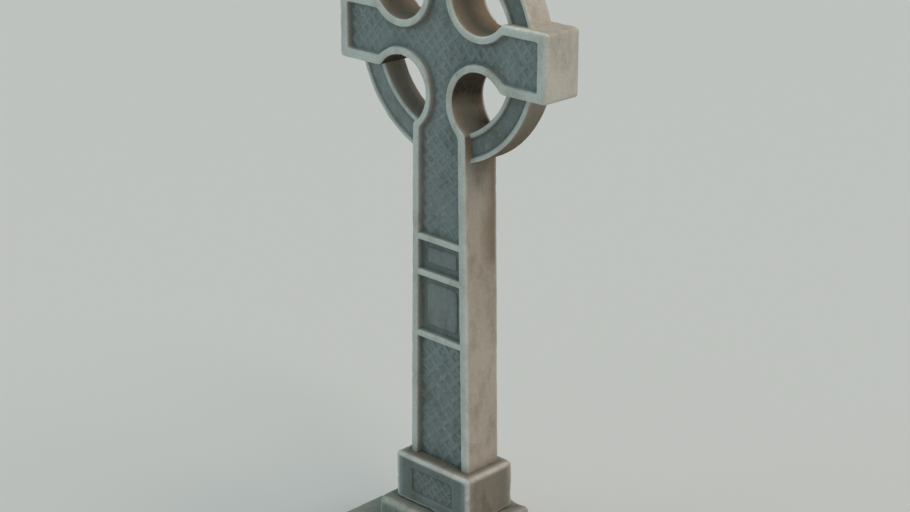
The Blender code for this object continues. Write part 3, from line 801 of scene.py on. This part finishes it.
steps = {
    "upper": {"acrossPoints": 70, "upPoints": 18, "cornerPasses": 7, "sideStep": 0.0065,
              "chips": 12, "seed": 61, "treadDirtAndShade": 0.032},
    "lower": {"acrossPoints": 108, "upPoints": 20, "cornerPasses": 7, "sideStep": 0.0070,
              "chips": 16, "seed": 71, "treadDirtAndShade": 0.040},
    "fillSpacing": 0.007, "swell": 0.0018, "roughen": 0.0008, "erode": 0.0035,
    "longEdges": (0.013, 0.85), "bleachAndHighlight": 0.45,
    # the outer edge: inset, depth, marks
    "edge": [
        (0.0190, 0.0000, 0.10, 0.00, 0.0), (0.0140, 0.0008, 0.60, 0.00, 0.0), (0.0098, 0.0025, 0.95, 0.00, 0.0),
        (0.0060, 0.0052, 1.00, 0.00, 0.0), (0.0029, 0.0088, 1.00, 0.00, 0.0), (0.0009, 0.0132, 0.85, 0.00, 0.0),
        (0.0000, 0.0190, 0.20, 0.00, 0.0),
    ],
}

blocks = {
    # shared by the plinth and the steps: chips, darkening at the foot and on the tread, painted shade with
    # dirt, and the pale upright edges, which are wider to the left as a painted highlight and fade softly over
    # the sides
    "chipReach": (0.010, 0.028), "chipDepth": (0.0005, 0.0030), "chipInset": 0.004,
    "footReach": 0.030, "footGrimeAndShade": 0.45, "treadDepth": 0.006, "treadGrimeAndShade": 0.15,
    "leftEdge": 1.40, "rightEdge": 1.15, "edgeReach": 0.016, "soft": 0.50, "softReach": 0.068,
}


def blockChips(box, count, seed):
    # places along the twelve edges of a squared stone, the upper ones more often
    dice = random.Random(seed)
    low, high = box
    middle = (low + high) / 2
    places = []
    for _ in range(count):
        signs = [dice.choice((-1, 1)), dice.choice((-1, -1, 1)), dice.choice((-1, 1, 1, 1))]
        along = dice.choice((0, 0, 1, 2))
        corner = [high[n] if signs[n] > 0 else low[n] for n in range(3)]
        corner[along] = dice.uniform(low[along], high[along])
        outward = [0.0 if n == along else float(signs[n]) for n in range(3)]
        inward = (middle - Vector(corner)).normalized() * blocks["chipInset"]
        places.append((Vector(corner) + inward, outward, dice.uniform(*blocks["chipReach"]),
                       -dice.uniform(*blocks["chipDepth"])))
    return places


def settleOn(bm, box, tread, bleachAndHighlight):
    # darker at the foot of a stone and where it meets the one above, painted shade with dirt; the rest of the
    # top is pale, painted highlight with rain bleaching
    low, high = box
    halfX, halfY, reach = tread
    wearAndHighlight, grimeAndShade = layers(bm, "wearAndHighlight", "grimeAndShade")
    for point in bm.verts:
        foot = max(0.0, 1.0 - (point.co.z - low.z) / blocks["footReach"])
        point[grimeAndShade] = min(1.0, point[grimeAndShade] + blocks["footGrimeAndShade"] * foot * foot)
        if point.co.z > high.z - blocks["treadDepth"]:
            outside = max(abs(point.co.x) - halfX, abs(point.co.y) - halfY)
            near = max(0.0, 1.0 - max(outside, 0.0) / reach)
            point[grimeAndShade] = min(1.0, point[grimeAndShade] + blocks["treadGrimeAndShade"] * near)
            point[wearAndHighlight] = max(point[wearAndHighlight], bleachAndHighlight * (1.0 - near) ** 2)


def squaredLoops(box, levels, sizes):
    middle = (box[0] + box[1]) / 2
    loops = []
    for halfWidth, halfHeight, y, marks in levels:
        loop = rectangleLoop(halfWidth, halfHeight, sizes["acrossPoints"], sizes["upPoints"],
                             sizes["cornerPasses"])
        loops.append([(middle.x + x, y, middle.z + z) for x, z in loop])
    return loops


def sideLevels(box, edge, sideStep):
    # the outer edge in front, the plain sides and the edge behind
    half = (box[1] - box[0]) / 2
    front = box[0].y
    levels = [(half.x - inset, half.z - inset, front + back, marks) for inset, back, *marks in edge]
    start = levels[-1][2]
    count = max(2, round(-2 * start / sideStep))
    for k in range(1, count):
        levels.append((half.x, half.z, start - 2 * start * k / count, (0.0, 0.05, 0.0)))
    return levels + [(a, b, -y, marks) for a, b, y, marks in reversed(levels[:len(edge)])]


def keepFlat(bm, box):
    # the beds stay inside the solid: nothing sinks into the stone below or lifts the one above
    for point in bm.verts:
        point.co.z = min(max(point.co.z, box[0].z), box[1].z)


def paleLongEdges(bm, box, reach, most):
    # marks the long edges that run from front to back, which the loops don't mark, and widens the pale upright
    # edges, softly on the sides; the wider band on the left is a painted highlight
    wearAndHighlight = bm.verts.layers.float["wearAndHighlight"]
    low, high = box
    for point in bm.verts:
        sideways = max(0.0, min(point.co.x - low.x, high.x - point.co.x))
        upright = max(0.0, min(high.z - point.co.z, point.co.z - low.z))
        inwards = max(0.0, min(point.co.y - low.y, high.y - point.co.y))
        along = min(1.0, 1.5 - math.hypot(sideways, upright) / reach)
        corner = math.hypot(sideways, inwards)
        edge = blocks["leftEdge"] if point.co.x < 0.0 else blocks["rightEdge"]
        point[wearAndHighlight] = max(point[wearAndHighlight], most * along, min(1.0, edge - corner / blocks["edgeReach"]),
                          blocks["soft"] - corner / blocks["softReach"])


def buildPlinth():
    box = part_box("plinth")
    half = (box[1] - box[0]) / 2
    front = box[0].y
    panelX, panelZ = plinth["panel"]
    bm = newStone()
    levels = [(panelX - inset, panelZ - inset, front + back, marks)
              for inset, back, *marks in plinth["panelProfile"]]
    outer = sideLevels(box, plinth["edge"], plinth["sideStep"])
    innerX, innerZ = levels[-1][0], levels[-1][1]
    for k in range(1, plinth["faceSteps"]):
        share = k / plinth["faceSteps"]
        levels.append((innerX + (outer[0][0] - innerX) * share, innerZ + (outer[0][1] - innerZ) * share,
                       front, (0.0, 0.0, 1.0)))
    levels += outer
    first, last = loftLoops(bm, squaredLoops(box, levels, plinth), [level[3] for level in levels])
    fillLoop(bm, first, plinth["panelSpacing"], (0.0, 0.0, 1.0), 41)
    fillLoop(bm, last, plinth["backSpacing"], (0.0, 0.0), 42)
    bmesh.ops.recalc_face_normals(bm, faces=bm.faces[:])
    paleLongEdges(bm, box, *plinth["longEdges"])
    weather(bm, plinth["swell"], plinth["roughen"], plinth["erode"], 9)
    chip(bm, blockChips(box, plinth["chips"], 43), 44)
    keepFlat(bm, box)
    settleOn(bm, box, (cross["footWidth"] / 2, cross["depth"] / 2, plinth["treadDirtAndShade"]), plinth["bleachAndHighlight"])
    return finishStone(bm, "carved_plinth", plinthStone, "plinth")


def buildStep(name, node, sizes, above):
    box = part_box(node)
    bm = newStone()
    levels = sideLevels(box, steps["edge"], sizes["sideStep"])
    first, last = loftLoops(bm, squaredLoops(box, levels, sizes), [level[3] for level in levels])
    fillLoop(bm, first, steps["fillSpacing"], (0.0, 0.0), sizes["seed"])
    fillLoop(bm, last, steps["fillSpacing"], (0.0, 0.0), sizes["seed"] + 1)
    bmesh.ops.recalc_face_normals(bm, faces=bm.faces[:])
    paleLongEdges(bm, box, *steps["longEdges"])
    weather(bm, steps["swell"], steps["roughen"], steps["erode"], sizes["seed"] + 2)
    chip(bm, blockChips(box, sizes["chips"], sizes["seed"] + 3), sizes["seed"] + 4)
    keepFlat(bm, box)
    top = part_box(above)[1]
    settleOn(bm, box, (top.x, top.y, sizes["treadDirtAndShade"]), steps["bleachAndHighlight"])
    return finishStone(bm, name, stepStone, node)


buildPlinth()
buildStep("worn_upper_step", "upper_step", steps["upper"], "plinth")
buildStep("worn_lower_step", "lower_step", steps["lower"], "upper_step")


# Knotwork: strands run between the middles of a grid's cell edges, cross where two cells meet,
# one over and one under, and turn back at the outline and at walls

strands = {
    "head": {"width": 0.0185, "over": 0.0023, "under": 0.0014},
    "lower": {"width": 0.0220, "over": 0.0027, "under": 0.0017},
    "plinth": {"width": 0.0140, "over": 0.0030, "under": 0.0020},
    "margin": 0.007, "neckPitch": 0.040, "neckCells": 5, "blockCells": 3, "spacing": 0.0036,
    "profilePoints": 10, "turnReach": 0.10, "wallGap": 0.14, "lowerFoot": 0.012, "lowerColumns": 3,
    "plinthRows": 2, "buried": 0.0005,
    # wear of the strands: fine unevenness, what is lost in broad patches, marks on top and beside: painted
    # highlight on the tops, painted shade beside them
    "roughen": 0.0005, "roughScale": 90.0, "lost": 0.0024, "lostScale": 9.0, "lostBias": 0.25,
    "wearAndHighlight": 0.06, "grimeAndShade": 0.10,
}


def block(columns, rows):
    return {(c - (columns - 1) / 2, r - (rows - 1) / 2) for c in range(columns) for r in range(rows)}


def traceStrands(cells, walls):
    # every closed strand, as a list of grid points with a share of rise: 1 over, 0 under
    touching = {}
    for i, j in cells:
        for across, up in ((0.5, 0.0), (0.0, 0.5), (-0.5, 0.0), (0.0, -0.5)):
            touching.setdefault((i + across, j + up), []).append((i, j))
    used = set()
    loops = []
    for cell in sorted(cells):
        for across, up in ((0.5, 0.0), (-0.5, 0.0)):
            for slope in (0.5, -0.5):
                node = (cell[0] + across, cell[1])
                way = (-across, slope)
                current = cell
                points = []
                while (node, way) not in used:
                    after = (node[0] + way[0], node[1] + way[1])
                    used.add((node, way))
                    used.add((after, (-way[0], -way[1])))
                    level = after[1] != current[1]
                    points.append((node[0] + way[0] / 2, node[1] + way[1] / 2, 0.5))
                    if len(touching[after]) == 2 and after not in walls:
                        rising = way[0] * way[1] > 0
                        points.append((*after, 1.0 if rising == level else 0.0))
                        current = [other for other in touching[after] if other != current][0]
                        node = after
                    else:
                        inward = (current[0] - after[0], current[1] - after[1])
                        back = strands["wallGap"] if after in walls else -strands["turnReach"]
                        points.append((after[0] + inward[0] * back * 2, after[1] + inward[1] * back * 2, 0.5))
                        way = (way[0], -way[1]) if level else (-way[0], way[1])
                        node = after
                if points:
                    loops.append(points)
    return loops


def strandTree():
    # sweeps a flattened round along every strand
    tree = bpy.data.node_groups.new("carved strands", "GeometryNodeTree")
    for name, kind in (("Geometry", "NodeSocketGeometry"), ("Half Width", "NodeSocketFloat"),
                       ("Half Thickness", "NodeSocketFloat"), ("Spacing", "NodeSocketFloat"),
                       ("Profile Points", "NodeSocketInt"), ("Stone", "NodeSocketMaterial")):
        tree.interface.new_socket(name, in_out="INPUT", socket_type=kind)
    tree.interface.new_socket("Geometry", in_out="OUTPUT", socket_type="NodeSocketGeometry")

    def add(kind, inputs, **settings):
        return addNode(tree, "GeometryNode" + kind, inputs, **settings)

    given = addNode(tree, "NodeGroupInput", {})
    path = add("MeshToCurve", {"Mesh": given["Geometry"]})["Curve"]
    smooth = add("CurveSplineType", {"Curve": path}, spline_type="CATMULL_ROM")["Curve"]
    even = add("ResampleCurve", {"Curve": smooth, "Length": given["Spacing"]}, mode="LENGTH")["Curve"]
    facing = add("SetCurveNormal", {"Curve": even, "Normal": (0.0, -1.0, 0.0)}, mode="FREE")["Curve"]
    profile = add("CurvePrimitiveCircle", {"Resolution": given["Profile Points"], "Radius": 1.0})["Curve"]
    size = addNode(tree, "ShaderNodeCombineXYZ", {
        "X": given["Half Thickness"], "Y": given["Half Width"], "Z": 1.0})["Vector"]
    shape = add("Transform", {"Geometry": profile, "Scale": size})["Geometry"]
    sweep = add("CurveToMesh", {"Curve": facing, "Profile Curve": shape})["Mesh"]
    real = add("RealizeInstances", {"Geometry": sweep})["Geometry"]
    finish = add("SetMaterial", {"Geometry": real, "Material": given["Stone"]})["Geometry"]
    addNode(tree, "NodeGroupOutput", {"Geometry": finish})
    return tree


strandSweep = strandTree()


def carveStrands(name, cells, walls, place, sizes, faceY, material, seed):
    points = []
    edges = []
    thickness = sizes["over"] + strands["buried"]
    for loop in traceStrands(cells, walls):
        start = len(points)
        for i, j, share in loop:
            x, z = place(i, j)
            rise = sizes["under"] + (sizes["over"] - sizes["under"]) * share
            points.append((x, faceY - rise + thickness, z))
        edges += [(start + k, start + (k + 1) % len(loop)) for k in range(len(loop))]
    mesh = bpy.data.meshes.new(name)
    mesh.from_pydata(points, edges, [])
    thing = addObject(name, mesh)
    modifier = thing.modifiers.new("strands", "NODES")
    modifier.node_group = strandSweep
    settings = {"Half Width": sizes["width"] / 2, "Half Thickness": thickness,
                "Spacing": strands["spacing"], "Profile Points": strands["profilePoints"], "Stone": material}
    for item in strandSweep.interface.items_tree:
        if item.in_out == "INPUT" and item.name in settings:
            modifier[item.identifier] = settings[item.name]
    bpy.context.view_layer.update()
    swept = bpy.data.meshes.new_from_object(thing.evaluated_get(bpy.context.evaluated_depsgraph_get()))
    bpy.data.objects.remove(thing)
    bm = newStone()
    bm.from_mesh(swept)
    wearAndHighlight, grimeAndShade, panel = layers(bm, "wearAndHighlight", "grimeAndShade", "panel")
    away = Vector((seed, seed * 2.0, 0.0))
    for point in bm.verts:
        rise = (faceY - point.co.y) / sizes["over"]
        lost = max(0.0, noise.noise((point.co + away) * strands["lostScale"]) + strands["lostBias"])
        point.co.y += strands["lost"] * lost * clamp(rise)
        point.co += noise.noise_vector((point.co + away) * strands["roughScale"]) * strands["roughen"]
        # painted highlight on the strand tops, painted shade on their sides
        point[wearAndHighlight] = clamp(rise) * strands["wearAndHighlight"]
        point[grimeAndShade] = clamp(1.0 - rise) * strands["grimeAndShade"]
        point[panel] = 1.0
    return finishStone(bm, name, material, None)


def stretch(value, marks):
    # reads a value off a run of straight lines between marks
    for (start, low), (end, high) in zip(marks, marks[1:]):
        if value <= end or (end, high) == marks[-1]:
            return low + (high - low) * (value - start) / (end - start)


def buildHeadKnot():
    wall = panelWall
    cellsAcross = strands["blockCells"]
    armFloorHalf = cross["armHeight"] / 2 - wall
    rise = cross["hollowOffset"] - armFloorHalf
    floorRadius = cross["hollowRadius"] + wall * hollowShare
    blockStart = cross["hollowOffset"] + math.sqrt(floorRadius ** 2 - rise ** 2)
    barTop = footZ + bars["heights"][0] + bars["width"] / 2 + cross["wallFoot"]
    shaftEnd = middleZ - barTop - strands["margin"]
    armEnd = cross["armSpan"] / 2 - wall * endShare - strands["margin"]
    topEnd = topArmRise - wall * endShare - strands["margin"]
    armPitch = 2 * (armFloorHalf - strands["margin"]) / cellsAcross
    shaftRows = max(2, round((shaftEnd - blockStart) / armPitch))
    centreHalf = cellsAcross / 2
    neckEnd = centreHalf + strands["neckCells"]

    def limbMarks(rows, length):
        return [(0.0, 0.0), (centreHalf, centreHalf * strands["neckPitch"]), (neckEnd, blockStart),
                (neckEnd + rows, length)]

    def pitch(distance, halfWidth):
        wide = 2 * (halfWidth - wall - strands["margin"]) / cellsAcross
        narrowUntil = cross["hollowOffset"] + strands["neckPitch"]
        share = clamp((distance - narrowUntil) / (blockStart - narrowUntil))
        return strands["neckPitch"] + (wide - strands["neckPitch"]) * share

    def place(i, j):
        if abs(i) > abs(j):
            distance = stretch(abs(i), limbMarks(cellsAcross, armEnd))
            return math.copysign(distance, i), middleZ + j * pitch(distance, cross["armHeight"] / 2)
        if j > 0:
            distance = stretch(j, limbMarks(cellsAcross, topEnd))
            return i * pitch(distance, cross["headWidth"] / 2), middleZ + distance
        distance = stretch(-j, limbMarks(shaftRows, shaftEnd))
        return i * pitch(distance, shaftHalf(middleZ - distance, 0.0)), middleZ - distance

    cells = block(cellsAcross, cellsAcross)
    for step in range(strands["neckCells"]):
        away = centreHalf + step + 0.5
        cells |= {(away, 0.0), (-away, 0.0), (0.0, away), (0.0, -away)}
    for i, j in block(cellsAcross, cellsAcross):
        away = neckEnd + centreHalf
        cells |= {(away + i, j), (-away + i, j), (i, away + j)}
    for i, j in block(cellsAcross, shaftRows):
        cells.add((i, -neckEnd - shaftRows / 2 + j))
    carveStrands("head_knotwork", cells, set(), place, strands["head"], floorY, carvedStone, 3)


def buildLowerKnot():
    wall = panelWall
    low = footZ + strands["lowerFoot"]
    high = footZ + bars["heights"][2] - bars["width"] / 2 - cross["wallFoot"] - strands["margin"]
    middle = (low + high) / 2
    columns = strands["lowerColumns"]
    pitch = 2 * (shaftHalf(middle, wall) - strands["margin"]) / columns
    rows = max(2, round((high - low) / pitch))

    def place(i, j):
        z = middle + j * (high - low) / rows
        return i * 2 * (shaftHalf(z, wall) - strands["margin"]) / columns, z

    cells = block(columns, rows)
    walls = set()
    for i, j in cells:
        row = round(j + (rows - 1) / 2)
        if i == 0 and row % 2 == 0 and row > 0:
            walls.add((i, j - 0.5))
    carveStrands("panel_knotwork", cells, walls, place, strands["lower"], floorY, carvedStone, 7)


def buildPlinthKnot():
    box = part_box("plinth")
    middle = (box[0].z + box[1].z) / 2
    wide = 2 * (plinth["panel"][0] - strands["margin"] - plinth["panelSink"])
    tall = 2 * (plinth["panel"][1] - strands["margin"] - plinth["panelSink"])
    rows = strands["plinthRows"]
    columns = max(rows, round(wide * rows / tall))

    def place(i, j):
        return i * wide / columns, middle + j * tall / rows

    carveStrands("plinth_knotwork", block(columns, rows), set(), place, strands["plinth"],
                 box[0].y + plinth["panelSink"], plinthStone, 9)


buildHeadKnot()
buildLowerKnot()
buildPlinthKnot()

bpy.context.scene.view_settings.view_transform = "Standard"
